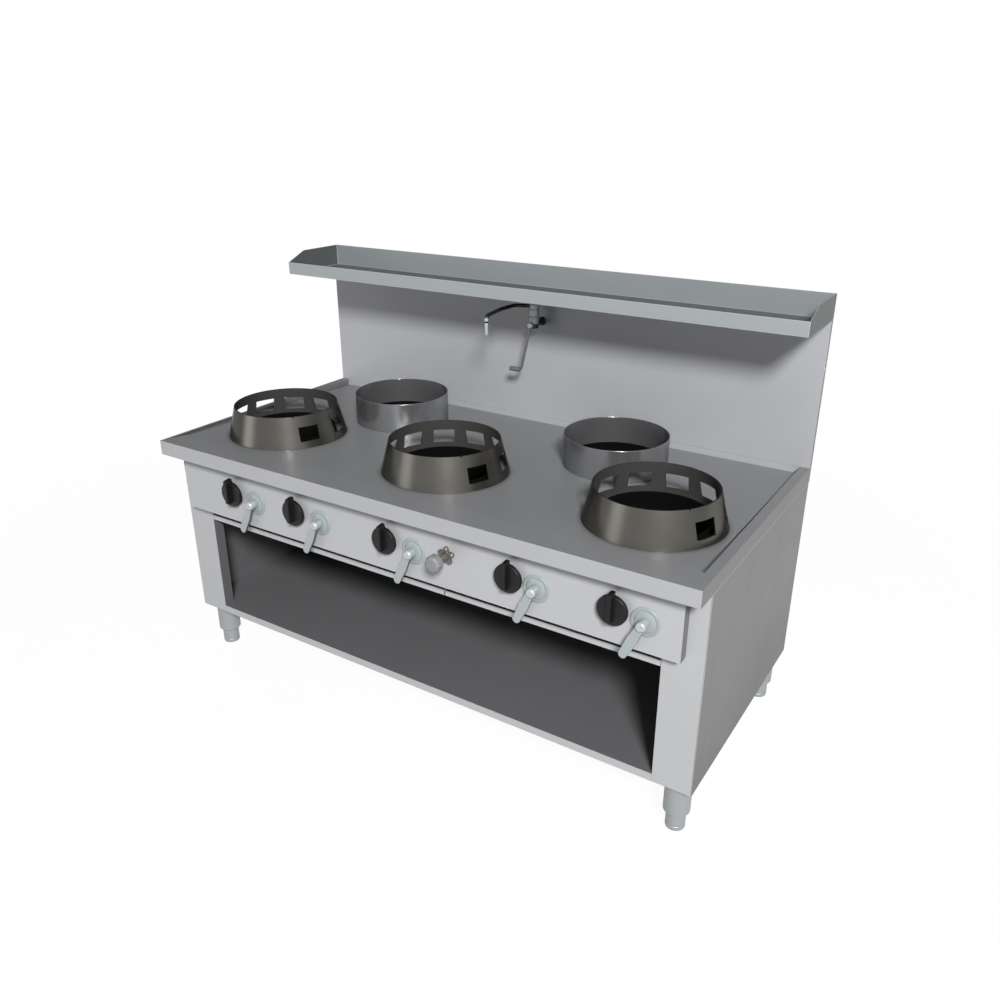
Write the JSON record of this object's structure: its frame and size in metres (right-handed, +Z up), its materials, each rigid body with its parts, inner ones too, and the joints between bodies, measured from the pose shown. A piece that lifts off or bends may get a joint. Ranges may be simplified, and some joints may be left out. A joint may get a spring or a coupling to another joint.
{
  "type": "gas wok range",
  "caption": "Free-standing stainless steel gas wok range with conical wok rings, pot rings, splashback, tray shelf, swing tap and open cabinet.",
  "frame": {"origin": "on the floor, under the middle of the range's outline", "axes": "+X along the range to its right end seen from the front, +Y to the back, +Z up"},
  "size_m": [1.95, 0.982, 1.396],
  "materials": {
    "body_steel": "satin brushed stainless steel sheet",
    "deck_steel": "dull worn stainless steel sheet",
    "polished_steel": "polished steel",
    "pipe_steel": "plain steel pipe",
    "ring_iron": "machined grey-brown iron",
    "cast_iron": "sooty black iron",
    "black_plastic": "satin black heat-proof plastic",
    "brass": "plain brass",
    "bronze_grey": "dull grey-brown plated brass"
  },
  "bodies": {
    "range_frame": {"worktop_frame": "body_steel", "splashback": "body_steel", "upper_shelf": "body_steel", "side_panel_left": "body_steel", "side_panel_right": "body_steel", "front_post_left": "body_steel", "front_post_right": "body_steel", "cabinet_back": "body_steel", "bottom_shelf": "body_steel", "control_panel": "body_steel", "front_rail": "body_steel", "tray_runners": "body_steel", "deck_plate": "deck_steel", "gas_manifold": "pipe_steel", "water_tap": "bronze_grey", "swing_tap_body": "polished_steel", "burner_well_1": "cast_iron", "burner_1": "cast_iron", "gas_valve_1": "brass", "lever_escutcheon_1": "polished_steel", "burner_well_2": "cast_iron", "burner_2": "cast_iron", "gas_valve_2": "brass", "lever_escutcheon_2": "polished_steel", "burner_well_3": "cast_iron", "burner_3": "cast_iron", "gas_valve_3": "brass", "lever_escutcheon_3": "polished_steel", "burner_well_4": "cast_iron", "burner_4": "cast_iron", "gas_valve_4": "brass", "lever_escutcheon_4": "polished_steel", "burner_well_5": "cast_iron", "burner_5": "cast_iron", "gas_valve_5": "brass", "lever_escutcheon_5": "polished_steel"},
    "foot_front_left": {"foot_front_left": "body_steel"},
    "foot_front_right": {"foot_front_right": "body_steel"},
    "foot_rear_left": {"foot_rear_left": "body_steel"},
    "foot_rear_right": {"foot_rear_right": "body_steel"},
    "wok_ring_left": {"wok_ring_left": "ring_iron"},
    "pot_ring_left": {"pot_ring_left": "polished_steel"},
    "wok_ring_centre": {"wok_ring_centre": "ring_iron"},
    "pot_ring_right": {"pot_ring_right": "polished_steel"},
    "wok_ring_right": {"wok_ring_right": "ring_iron"},
    "knob_1": {"knob_1": "black_plastic"},
    "knob_2": {"knob_2": "black_plastic"},
    "knob_3": {"knob_3": "black_plastic"},
    "knob_4": {"knob_4": "black_plastic"},
    "knob_5": {"knob_5": "black_plastic"},
    "lever_1": {"lever_1": "polished_steel"},
    "lever_2": {"lever_2": "polished_steel"},
    "lever_3": {"lever_3": "polished_steel"},
    "lever_4": {"lever_4": "polished_steel"},
    "lever_5": {"lever_5": "polished_steel"},
    "water_tap_handle": {"water_tap_handle": "polished_steel"},
    "swing_tap_spout": {"swing_tap_spout": "polished_steel"},
    "swing_tap_lever": {"swing_tap_lever": "polished_steel"},
    "drip_tray_left": {"drip_tray_left": "body_steel"},
    "drip_tray_right": {"drip_tray_right": "body_steel"}
  },
  "joints": [
    {"name": "knob_1_turn", "type": "hinge", "parent": "range_frame", "child": "knob_1", "pos_m": [-0.68, -0.435, 0.706], "axis": [0, -1, 0], "range_deg": [0, 180]},
    {"name": "lever_1_swing", "type": "hinge", "parent": "range_frame", "child": "lever_1", "pos_m": [-0.583, -0.435, 0.691], "axis": [0, -1, 0], "range_deg": [0, 90]},
    {"name": "knob_2_turn", "type": "hinge", "parent": "range_frame", "child": "knob_2", "pos_m": [-0.397, -0.435, 0.706], "axis": [0, -1, 0], "range_deg": [0, 180]},
    {"name": "lever_2_swing", "type": "hinge", "parent": "range_frame", "child": "lever_2", "pos_m": [-0.295, -0.435, 0.691], "axis": [0, -1, 0], "range_deg": [0, 90]},
    {"name": "knob_3_turn", "type": "hinge", "parent": "range_frame", "child": "knob_3", "pos_m": [-0.024, -0.435, 0.706], "axis": [0, -1, 0], "range_deg": [0, 180]},
    {"name": "lever_3_swing", "type": "hinge", "parent": "range_frame", "child": "lever_3", "pos_m": [0.076, -0.435, 0.691], "axis": [0, -1, 0], "range_deg": [0, 90]},
    {"name": "knob_4_turn", "type": "hinge", "parent": "range_frame", "child": "knob_4", "pos_m": [0.414, -0.435, 0.706], "axis": [0, -1, 0], "range_deg": [0, 180]},
    {"name": "lever_4_swing", "type": "hinge", "parent": "range_frame", "child": "lever_4", "pos_m": [0.496, -0.435, 0.691], "axis": [0, -1, 0], "range_deg": [0, 90]},
    {"name": "knob_5_turn", "type": "hinge", "parent": "range_frame", "child": "knob_5", "pos_m": [0.732, -0.435, 0.706], "axis": [0, -1, 0], "range_deg": [0, 180]},
    {"name": "lever_5_swing", "type": "hinge", "parent": "range_frame", "child": "lever_5", "pos_m": [0.819, -0.435, 0.691], "axis": [0, -1, 0], "range_deg": [0, 90]},
    {"name": "water_tap_turn", "type": "hinge", "parent": "range_frame", "child": "water_tap_handle", "pos_m": [0.198, -0.469, 0.712], "axis": [0, -1, 0], "range_deg": [0, 540]},
    {"name": "spout_swing", "type": "hinge", "parent": "range_frame", "child": "swing_tap_spout", "pos_m": [-0.008, 0.414, 1.25], "axis": [0, 0, 1], "range_deg": [-60, 90]},
    {"name": "tap_lever_swing", "type": "hinge", "parent": "range_frame", "child": "swing_tap_lever", "pos_m": [-0.008, 0.39, 1.204], "axis": [0, -1, 0], "range_deg": [0, 90]},
    {"name": "tray_left_pull", "type": "slide", "parent": "range_frame", "child": "drip_tray_left", "axis": [0, -1, 0], "range_m": [0, 0.6]},
    {"name": "tray_right_pull", "type": "slide", "parent": "range_frame", "child": "drip_tray_right", "axis": [0, -1, 0], "range_m": [0, 0.6]},
    {"name": "wok_ring_left_lift", "type": "slide", "parent": "range_frame", "child": "wok_ring_left", "axis": [0, 0, 1], "range_m": [0, 0.15]},
    {"name": "pot_ring_left_lift", "type": "slide", "parent": "range_frame", "child": "pot_ring_left", "axis": [0, 0, 1], "range_m": [0, 0.15]},
    {"name": "wok_ring_centre_lift", "type": "slide", "parent": "range_frame", "child": "wok_ring_centre", "axis": [0, 0, 1], "range_m": [0, 0.15]},
    {"name": "pot_ring_right_lift", "type": "slide", "parent": "range_frame", "child": "pot_ring_right", "axis": [0, 0, 1], "range_m": [0, 0.15]},
    {"name": "wok_ring_right_lift", "type": "slide", "parent": "range_frame", "child": "wok_ring_right", "axis": [0, 0, 1], "range_m": [0, 0.15]},
    {"name": "foot_front_left_screw", "type": "slide", "parent": "range_frame", "child": "foot_front_left", "axis": [0, 0, -1], "range_m": [0, 0.03]},
    {"name": "foot_front_right_screw", "type": "slide", "parent": "range_frame", "child": "foot_front_right", "axis": [0, 0, -1], "range_m": [0, 0.03]},
    {"name": "foot_rear_left_screw", "type": "slide", "parent": "range_frame", "child": "foot_rear_left", "axis": [0, 0, -1], "range_m": [0, 0.03]},
    {"name": "foot_rear_right_screw", "type": "slide", "parent": "range_frame", "child": "foot_rear_right", "axis": [0, 0, -1], "range_m": [0, 0.03]}
  ]
}
